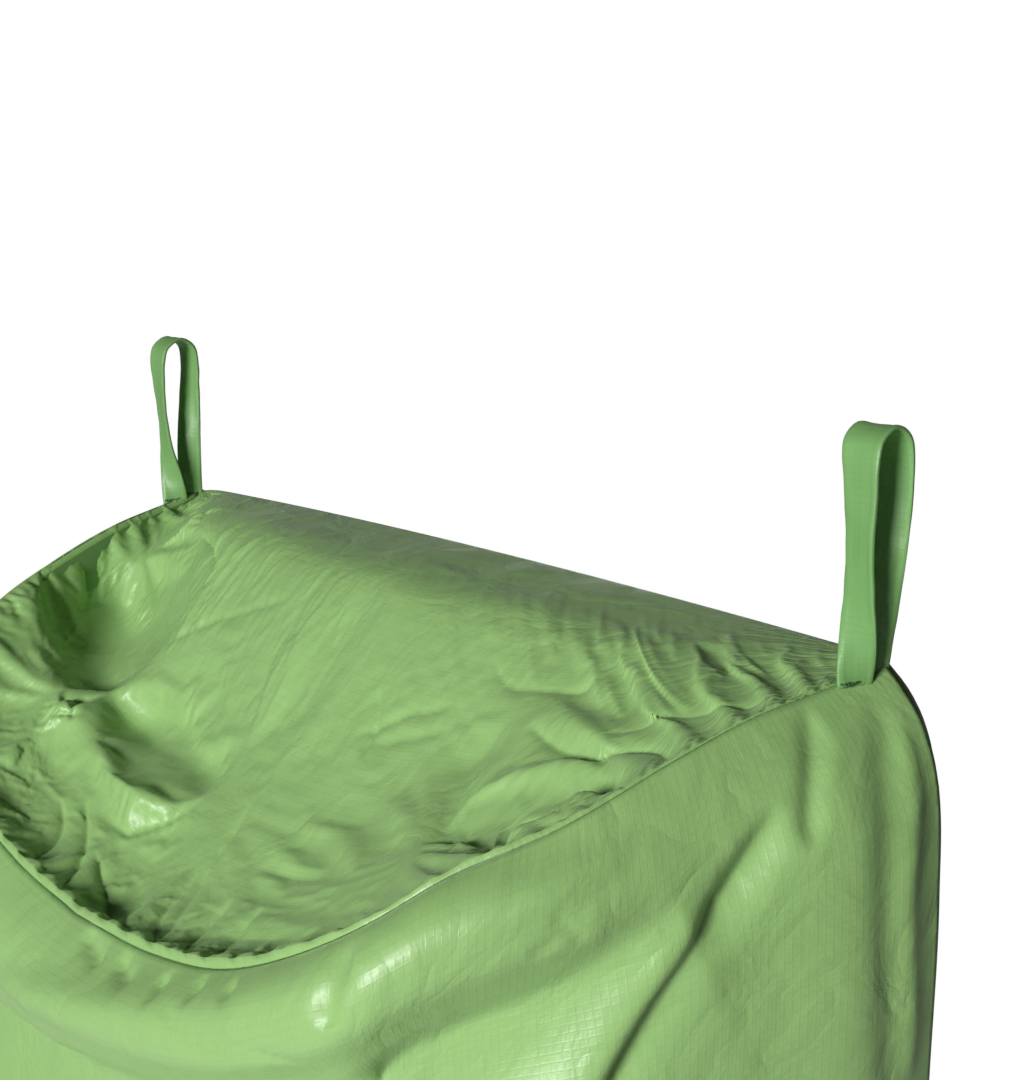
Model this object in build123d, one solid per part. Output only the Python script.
"""Camp quilt with a sewn foot box, hanging foot end up from two loops.

Row frame, in millimetres: +Z up, +X to the quilt's right as its front is looked at from -Y,
+Y to its back (the underside, which carries the slit).
The origin is halfway between the seats of the two hang loops, where a hanger's arms carry them.
"""

import os
from math import atan2, degrees, hypot

from build123d import *

OUT = "parts"

# ---- driving dimensions -------------------------------------------------------------------
LOOP_SPACING = 372.0  # between the centres of the two hang loops
LOOP_HEIGHT = 69.0  # from the loop's seat down to the foot seam
LOOP_WIDTH = 12.0  # of the folded ribbon
RIBBON = 1.2  # its thickness
SEAT_RADIUS = 7.5  # inside the loop, around a hanger arm 15 mm thick

SHELL = 1.0  # outer fabric with its seam allowance
BATT = 15.0  # sheet insulation
LINER = 1.0  # inner fabric
WALL = SHELL + BATT + LINER

SPLIT_Y = 1.0  # plane of the side seams, between the front and the back panel
BACK_Y = SPLIT_Y + WALL  # outer face of the back panel
SLIT_TOP = -660.0  # the foot box is closed above this height
HEM_TOP = -1972.0  # the panels end here and the neck hem begins
NECK = -1994.0  # lowest edge of the neck hem
SLIT_GAP = 6.0  # between the two bound edges of the slit

# (height, half width, front face, front corner radius) of the outer outline
STATIONS = [
    (-40.0, 190.0, -150.0, 62.0),
    (-130.0, 204.0, -168.0, 66.0),
    (-240.0, 207.0, -184.0, 74.0),
    (-350.0, 211.0, -172.0, 72.0),
    (SLIT_TOP, 228.0, -124.0, 56.0),
    (-1200.0, 258.0, -100.0, 44.0),
    (HEM_TOP, 290.0, -92.0, 40.0),
    (NECK, 291.0, -92.0, 40.0),
]
BACK_CORNER = 14.0  # rounding of the outline beside the back panel
TOE_IN = 10.0  # the sides lean in by this much towards the front

# The foot cap's top surface, as (y, [(x, z), ...]) sections: straight along the back ridge,
# dished in the middle, and low at the front centre
CAP_SECTIONS = [
    (30.0, [(-230, -62), (-120, -62), (0, -62), (120, -62), (230, -62)]),
    (-60.0, [(-230, -74), (-130, -106), (0, -140), (130, -106), (230, -74)]),
    (-210.0, [(-230, -118), (-130, -146), (0, -203), (130, -146), (230, -118)]),
]
FOOT_TAPE = 1.5  # bias tape that covers the foot seam's allowance inside
FOOT_TAPE_HEIGHT = 12.0

CREASE_START = 9.0  # half distance between the two flap creases at the slit's top
CREASE_MARGIN = 24.0  # of side strip left beside the crease at the neck
CREASE_GAP = 1.5  # each side of the crease line
BINDING = 3.0  # width of the tape over a slit edge
BINDING_PROUD = 0.6  # each face
FLAP_EDGE = SLIT_GAP / 2 + BINDING  # where the flap's panel begins
FLAP_TOP = SLIT_TOP - 3.0
EDGE_THICK = 4.0  # the flap is pressed down to this at its bound slit edge
EDGE_TAPER = 30.0  # over this width

HEM_THICK = 8.0
HEM_WALL = 2.5  # leaves a flat channel 3 mm deep for the drawcord
CHANNEL_HEIGHT = 14.0  # of the drawcord channel inside the hem
EYELET_X = 44.0
EYELET_BORE = 2.5
EYELET_BARREL = 3.6
EYELET_FLANGE = 5.5
EYELET_PROUD = 0.8
EYELET_ROLL = 0.7  # the rolled rim inside the channel
SNAP_X = 20.0
SNAP_CAP_R = 6.0
SNAP_SHANK_R = 1.6
SNAP_HEAD = 1.6
SNAP_STUD_R = 2.2
SNAP_STUD_H = 2.4
PATCH = 22.0  # width of the reinforcement where a snap goes through
PATCH_THICK = 0.6

KEEPER_HEIGHTS = (-1090.0, -1620.0)  # of the pad strap keepers
KEEPER_X = 24.0
KEEPER_LENGTH = 34.0
KEEPER_WIDTH = 12.0
KEEPER_GAP = 5.0
KEEPER_TAPE = 1.2
KEEPER_FOOT = 6.0

SLIT_PATCH = 34.0  # reinforcement at the slit's top
LABEL = (32.0, 46.0, 0.7)


def station(z):
    """(half width, front y, corner radius) of the outline at a height, straight between stations."""
    for (z0, *a), (z1, *b) in zip(STATIONS, STATIONS[1:]):
        if z1 <= z <= z0:
            t = (z0 - z) / (z0 - z1)
            return tuple(p + t * (q - p) for p, q in zip(a, b))
    raise ValueError(f"no outline at {z}")


def outline(z, inset, back):
    """The closed D-shaped outline at a height, inset from the outer face, ending at y = back."""
    half, front, radius = station(z)
    half, front, radius = half - inset, front + inset, max(radius - inset, 6.0)
    corner = half - TOE_IN
    with BuildSketch(Plane.XY.offset(z)) as sketch:
        with BuildLine():
            Polyline((-half, back), (-corner, front), (corner, front), (half, back), close=True)
        make_face()
        fillet(sketch.vertices().sort_by(Axis.Y)[:2], radius)
        if inset == 0 and back > SPLIT_Y:
            fillet(sketch.vertices().sort_by(Axis.Y)[-2:], BACK_CORNER)
    return sketch.sketch.face()


def tube(inset, back, lowest, highest=STATIONS[0][0]):
    """A solid that fills the outline between two heights."""
    heights = [s[0] for s in STATIONS if lowest <= s[0] <= highest]
    return Solid.make_loft([outline(z, inset, back).outer_wire() for z in heights], ruled=True)


def above_cap(drop):
    """Everything over the foot cap's top surface, lowered by drop."""
    top = 40.0
    wires = []
    for y, points in CAP_SECTIONS:
        low = [Vector(x, y, z - drop) for x, z in points]
        left, right = low[0], low[-1]
        edges = [
            Edge.make_spline(low),
            Edge.make_line(right, Vector(right.X, y, top)),
            Edge.make_line(Vector(right.X, y, top), Vector(left.X, y, top)),
            Edge.make_line(Vector(left.X, y, top), left),
        ]
        wires.append(Wire(edges))
    return Solid.make_loft(wires)


def cap_layer(upper, lower):
    """One layer of the foot cap, between two depths under its top surface."""
    return (tube(0, BACK_Y, STATIONS[3][0]) & above_cap(lower)) - above_cap(upper)


def front_layer(outer, inner):
    """One layer of the front panel: it wraps from one side seam round the front to the other."""
    ring = tube(outer, SPLIT_Y, HEM_TOP) - tube(inner, SPLIT_Y, HEM_TOP)
    return ring - above_cap(WALL)


def crease(side):
    """The start and the end of a flap's crease in the (x, z) plane of the back panel."""
    start = (side * CREASE_START, SLIT_TOP)
    end = (side * (station(HEM_TOP)[0] - CREASE_MARGIN), NECK)
    return start, end


def shifted_crease(side, away):
    """The crease moved sideways: positive away goes towards the outer edge."""
    (x0, z0), (x1, z1) = crease(side)
    run, drop = x1 - x0, z1 - z0
    length = hypot(run, drop)
    push = away * side * length / abs(drop)
    return (x0 + push, z0), (x1 + push, z1)


def plate(points, near, far):
    """A flat plate in the back panel: an (x, z) polygon between two y values."""
    face = Face(Wire.make_polygon([Vector(x, near, z) for x, z in points], close=True))
    return extrude(face, amount=far - near, dir=(0, 1, 0))


def at_height(line, z):
    """The point of a straight (x, z) line at a height."""
    (x0, z0), (x1, z1) = line
    return (x0 + (x1 - x0) * (z - z0) / (z1 - z0), z)


def back_outline(side):
    """The back panel's outer edge on one side, from the top down to the hem."""
    heights = [s[0] for s in STATIONS if s[0] >= HEM_TOP]
    return [(side * station(z)[0], z) for z in heights]


def back_layer(near, far):
    """One layer of the back panel: the closed foot box and a tapering strip down each side."""
    right, left = back_outline(1), back_outline(-1)
    right_line, left_line = shifted_crease(1, CREASE_GAP), shifted_crease(-1, CREASE_GAP)
    notch = [
        at_height(right_line, HEM_TOP),
        right_line[0],
        left_line[0],
        at_height(left_line, HEM_TOP),
    ]
    sheet = plate(right + notch + left[::-1], near, far) - above_cap(WALL)
    if far >= BACK_Y:
        sheet = sheet & tube(0, BACK_Y, HEM_TOP)
    return sheet


def flap_layer(side, near, far):
    """One layer of a back flap: the triangle between its crease, its slit edge and the hem.

    The inner side of the insulation and the liner slopes to a thin edge beside the slit."""
    line = shifted_crease(side, -CREASE_GAP)
    edge, flat, away = (side * x for x in (FLAP_EDGE, FLAP_EDGE + EDGE_TAPER, 400))
    points = [(edge, FLAP_TOP), at_height(line, FLAP_TOP), at_height(line, HEM_TOP), (edge, HEM_TOP)]
    rise = WALL - EDGE_THICK
    near_edge = near if far >= BACK_Y else near + rise
    far_edge = far + rise if far <= SPLIT_Y + LINER else far
    section = [(edge, near_edge), (flat, near), (away, near), (away, far), (flat, far), (edge, far_edge)]
    wire = Wire.make_polygon([Vector(x, y, NECK) for x, y in section], close=True)
    bar = extrude(Face(wire), amount=FLAP_TOP - NECK, dir=(0, 0, 1))
    return bar & plate(points, SPLIT_Y - 5, BACK_Y + 5)


def slit_binding(side):
    """The folded tape over a flap's slit edge, from just under the slit's top to the hem."""
    inner, outer = side * SLIT_GAP / 2, side * FLAP_EDGE
    points = [(inner, FLAP_TOP), (outer, FLAP_TOP), (outer, HEM_TOP), (inner, HEM_TOP)]
    return plate(points, BACK_Y - EDGE_THICK - BINDING_PROUD, BACK_Y + BINDING_PROUD)


def eyelet_hole(side, radius):
    """A round cutter through a hem's outer wall."""
    centre = Vector(side * EYELET_X, BACK_Y - HEM_WALL, (HEM_TOP + NECK) / 2)
    return Solid.make_cylinder(radius, 2 * HEM_WALL, Plane(origin=centre, z_dir=(0, 1, 0)))


def snap_hole(side, radius):
    """A round cutter through the whole hem."""
    centre = Vector(side * SNAP_X, BACK_Y - HEM_THICK - 5, (HEM_TOP + NECK) / 2)
    return Solid.make_cylinder(radius, HEM_THICK + 10, Plane(origin=centre, z_dir=(0, 1, 0)))


def flap_hem(side):
    """The straight neck hem of a flap, with the drawcord channel inside it."""
    line = shifted_crease(side, -CREASE_GAP)
    inner = side * SLIT_GAP / 2
    outer_top, outer_low = at_height(line, HEM_TOP), at_height(line, NECK)
    hem = plate([(inner, HEM_TOP), outer_top, outer_low, (inner, NECK)], BACK_Y - HEM_THICK, BACK_Y)
    middle = (HEM_TOP + NECK) / 2
    low, high = middle - CHANNEL_HEIGHT / 2, middle + CHANNEL_HEIGHT / 2
    start, end = side * (SNAP_X + 12), side * (abs(outer_low[0]) + 10)
    channel = plate(
        [(start, high), (end, high), (end, low), (start, low)],
        BACK_Y - HEM_THICK + HEM_WALL,
        BACK_Y - HEM_WALL,
    )
    return hem - channel - eyelet_hole(side, EYELET_BARREL) - snap_hole(side, SNAP_SHANK_R)


def front_hem():
    """The curved neck hem of the front panel, with its drawcord channel, open at both ends."""
    outer = tube(0, SPLIT_Y, NECK, HEM_TOP) - tube(HEM_THICK, SPLIT_Y, NECK, HEM_TOP)
    core = tube(HEM_WALL, SPLIT_Y, NECK, HEM_TOP) - tube(HEM_THICK - HEM_WALL, SPLIT_Y, NECK, HEM_TOP)
    margin = (HEM_TOP - NECK - CHANNEL_HEIGHT) / 2
    band = Pos(0, 0, (HEM_TOP + NECK) / 2) * Box(900, 900, HEM_TOP - NECK - 2 * margin)
    return outer - (core & band)


def corner_hem(side):
    """The hem below the side strip: the drawcord channel turns the corner inside it."""
    line = shifted_crease(side, CREASE_GAP)
    outer = side * station(NECK)[0]
    points = [at_height(line, HEM_TOP), (side * station(HEM_TOP)[0], HEM_TOP), (outer, NECK)]
    block = plate(points + [at_height(line, NECK)], SPLIT_Y, BACK_Y)
    middle = (HEM_TOP + NECK) / 2
    low, high = middle - CHANNEL_HEIGHT / 2, middle + CHANNEL_HEIGHT / 2
    across = (side * 200, outer - side * (HEM_WALL + 1))
    corners = [(across[0], high), (across[1], high), (across[1], low), (across[0], low)]
    turn = (outer - side * HEM_THICK, outer - side * (HEM_WALL + 1))
    leg = [(turn[0], high), (turn[1], high), (turn[1], low), (turn[0], low)]
    inner = plate(corners, BACK_Y - HEM_THICK + HEM_WALL, BACK_Y - HEM_WALL)
    return block - inner - plate(leg, SPLIT_Y - 1, BACK_Y - HEM_WALL)


def eyelet(side):
    """A flanged eyelet at the drawcord channel's mouth."""
    middle = (HEM_TOP + NECK) / 2
    length = EYELET_ROLL + HEM_WALL + EYELET_PROUD
    origin = Vector(side * EYELET_X, BACK_Y + EYELET_PROUD - length, middle)
    barrel = Solid.make_cylinder(EYELET_BARREL, length, Plane(origin=origin, z_dir=(0, 1, 0)))
    seat = Vector(side * EYELET_X, BACK_Y, middle)
    flange = Solid.make_cylinder(EYELET_FLANGE, EYELET_PROUD, Plane(origin=seat, z_dir=(0, 1, 0)))
    bore = Solid.make_cylinder(EYELET_BORE, 20, Plane(origin=origin + Vector(0, -8, 0), z_dir=(0, 1, 0)))
    body = barrel + flange - bore
    rim = body.edges().filter_by(GeomType.CIRCLE).group_by(Axis.Y)[-1].sort_by(SortBy.RADIUS)[-1]
    return fillet(rim, 0.5)


def snap_piece(side, y, height, radius, dome=0.0):
    """A round snap part whose axis is along Y, starting at y."""
    origin = Vector(side * SNAP_X, y, (HEM_TOP + NECK) / 2)
    piece = Part() + Solid.make_cylinder(radius, height, Plane(origin=origin, z_dir=(0, 1, 0)))
    if dome:
        rim = piece.edges().filter_by(GeomType.CIRCLE).sort_by(Axis.Y)[-1]
        piece = fillet(rim, dome)
    return piece


def snap_cap(side):
    """The domed cap outside, with its shank through the hem."""
    shank = snap_piece(side, BACK_Y - HEM_THICK, HEM_THICK, SNAP_SHANK_R)
    return snap_piece(side, BACK_Y + PATCH_THICK, SNAP_HEAD, SNAP_CAP_R, 1.2) + snap_piece(
        side, BACK_Y, PATCH_THICK, SNAP_SHANK_R
    ) + shank


def snap_socket(side):
    """The socket inside, a ring that takes the stud."""
    y = BACK_Y - HEM_THICK - SNAP_STUD_H
    ring = snap_piece(side, y, SNAP_STUD_H, SNAP_CAP_R - 0.6)
    return ring - snap_piece(side, y - 1, SNAP_STUD_H, SNAP_STUD_R + 0.05)


def snap_stud(side):
    """The stud outside, on its flange."""
    y = BACK_Y + PATCH_THICK
    flange = snap_piece(side, y, 0.8, SNAP_CAP_R - 0.6)
    stud = snap_piece(side, y + 0.8, SNAP_STUD_H, SNAP_STUD_R, 0.8)
    return flange + stud


def snap_post(side):
    """The post inside, whose shank holds the stud on."""
    y = BACK_Y - HEM_THICK - 1.0
    disc = snap_piece(side, y, 1.0, SNAP_CAP_R - 0.6)
    return disc + snap_piece(side, y + 1.0, HEM_THICK + PATCH_THICK, SNAP_SHANK_R)


def snap_patch(side):
    """A reinforcement patch under a snap's outer part."""
    middle = (HEM_TOP + NECK) / 2
    height = HEM_TOP - NECK - 2
    box = Pos(side * SNAP_X, BACK_Y + PATCH_THICK / 2, middle) * Box(PATCH, PATCH_THICK, height)
    return box - snap_hole(side, SNAP_SHANK_R)


def keeper(side, z):
    """A webbing bridge on a flap's outer face that a pad strap runs through."""
    high = KEEPER_GAP + KEEPER_TAPE
    half = KEEPER_LENGTH / 2
    x = side * KEEPER_X - KEEPER_WIDTH / 2
    points = [
        (-half, 0), (-half, KEEPER_TAPE), (KEEPER_FOOT - half - 1, KEEPER_TAPE),
        (KEEPER_FOOT - half, high), (half - KEEPER_FOOT, high),
        (half - KEEPER_FOOT + 1, KEEPER_TAPE), (half, KEEPER_TAPE), (half, 0),
        (half - KEEPER_FOOT, 0), (half - KEEPER_FOOT - 1, KEEPER_GAP),
        (KEEPER_FOOT - half + 1, KEEPER_GAP), (KEEPER_FOOT - half, 0),
    ]
    wire = Wire.make_polygon([Vector(x, BACK_Y + y, z + s) for s, y in points], close=True)
    return extrude(Face(wire), amount=KEEPER_WIDTH, dir=(1, 0, 0))


def slit_patch():
    """The stitched reinforcement above the slit, flush with the back panel's shell."""
    thick = SHELL - 0.2
    middle = SLIT_TOP + SLIT_PATCH / 2 + 2
    box = Pos(0, BACK_Y - thick / 2, middle) * Box(SLIT_PATCH, thick, SLIT_PATCH)
    return fillet(box.edges().filter_by(Axis.Y), 5)


def foot_tape():
    """The bias tape inside, over the foot seam's allowance."""
    back = SPLIT_Y
    low = STATIONS[3][0]
    ring = tube(WALL, back, low) - tube(WALL + FOOT_TAPE, back - FOOT_TAPE, low)
    return (ring & above_cap(WALL + FOOT_TAPE_HEIGHT)) - above_cap(WALL)


def hang_loop(side):
    """One ribbon loop, a teardrop ring around the hanger arm that ends in a narrow sewn tab."""
    tab_r, seat_z = 2.0, -SEAT_RADIUS
    tab_z = -LOOP_HEIGHT + tab_r
    x = side * LOOP_SPACING / 2 - LOOP_WIDTH / 2

    def teardrop(big, small, small_z):
        drop = seat_z - small_z
        lean = (big - small) / drop
        c = (1 - lean * lean) ** 0.5
        right_big = (big * c, seat_z + big * lean)
        right_small = (small * c, small_z + small * lean)
        top, low = (0, seat_z + big), (0, small_z - small)
        mirror = lambda p: (-p[0], p[1])
        with BuildSketch(Plane(origin=(x, 0, 0), x_dir=(0, 1, 0), z_dir=(1, 0, 0))) as s:
            with BuildLine():
                ThreePointArc(right_big, top, mirror(right_big))
                Line(mirror(right_big), mirror(right_small))
                ThreePointArc(mirror(right_small), low, right_small)
                Line(right_small, right_big)
            make_face()
        return s.sketch.face()

    outer = extrude(teardrop(SEAT_RADIUS + RIBBON, tab_r, tab_z), amount=LOOP_WIDTH, dir=(1, 0, 0))
    inner = extrude(teardrop(SEAT_RADIUS, 0.8, tab_z + 5), amount=LOOP_WIDTH, dir=(1, 0, 0))
    return outer - inner


def loop_bartack(side):
    """The dense stitching that holds a loop's tab to the foot seam."""
    top = -LOOP_HEIGHT - 0.3
    block = Pos(side * LOOP_SPACING / 2, 0, top - 6) * Box(LOOP_WIDTH + 4, 9, 12)
    return block & above_cap(0)


def care_label():
    """A blank satin label on the front panel's lining, near the neck."""
    width, height, thick = LABEL
    z = HEM_TOP + 60 + height / 2
    steep = (station(HEM_TOP)[1] - station(-1200)[1]) / (HEM_TOP + 1200)
    y = station(z)[1] + WALL + thick / 2 + 0.35
    return Pos(0, y, z) * Rot(degrees(atan2(-steep, 1)), 0, 0) * Box(width, thick, height)


def build_all():
    """Every sub-part, by its node name."""
    made = {}
    depths = {
        "shell": (0, SHELL),
        "insulation": (SHELL, SHELL + BATT),
        "liner": (SHELL + BATT, WALL),
    }
    for layer, (outer, inner) in depths.items():
        made[f"foot_cap_{layer}"] = cap_layer(outer, inner)
        made[f"front_{layer}"] = front_layer(outer, inner)
        near, far = BACK_Y - inner, BACK_Y - outer
        made[f"back_{layer}"] = back_layer(near, far) - slit_patch()
        for side, name in ((-1, "left"), (1, "right")):
            made[f"{name}_flap_{layer}"] = flap_layer(side, near, far)
    made["foot_seam_binding"] = foot_tape()
    made["front_neck_hem"] = front_hem()
    made["slit_top_patch"] = slit_patch()
    made["care_label"] = care_label()
    for side, name in ((-1, "left"), (1, "right")):
        made[f"{name}_hang_loop"] = hang_loop(side)
        made[f"{name}_loop_bartack"] = loop_bartack(side)
        made[f"{name}_slit_binding"] = slit_binding(side)
        made[f"{name}_flap_neck_hem"] = flap_hem(side)
        made[f"{name}_corner_hem"] = corner_hem(side)
        made[f"{name}_cord_eyelet"] = eyelet(side)
        made[f"{name}_snap_patch"] = snap_patch(side)
        for place, z in zip(("upper", "lower"), KEEPER_HEIGHTS):
            made[f"{name}_{place}_strap_keeper"] = keeper(side, z)
    made["neck_snap_cap"] = snap_cap(-1)
    made["neck_snap_socket"] = snap_socket(-1)
    made["neck_snap_stud"] = snap_stud(1)
    made["neck_snap_post"] = snap_post(1)
    return made


if __name__ == "__main__":
    os.makedirs(OUT, exist_ok=True)
    for node, shape in build_all().items():
        export_step(shape, os.path.join(OUT, f"{node}.step"))
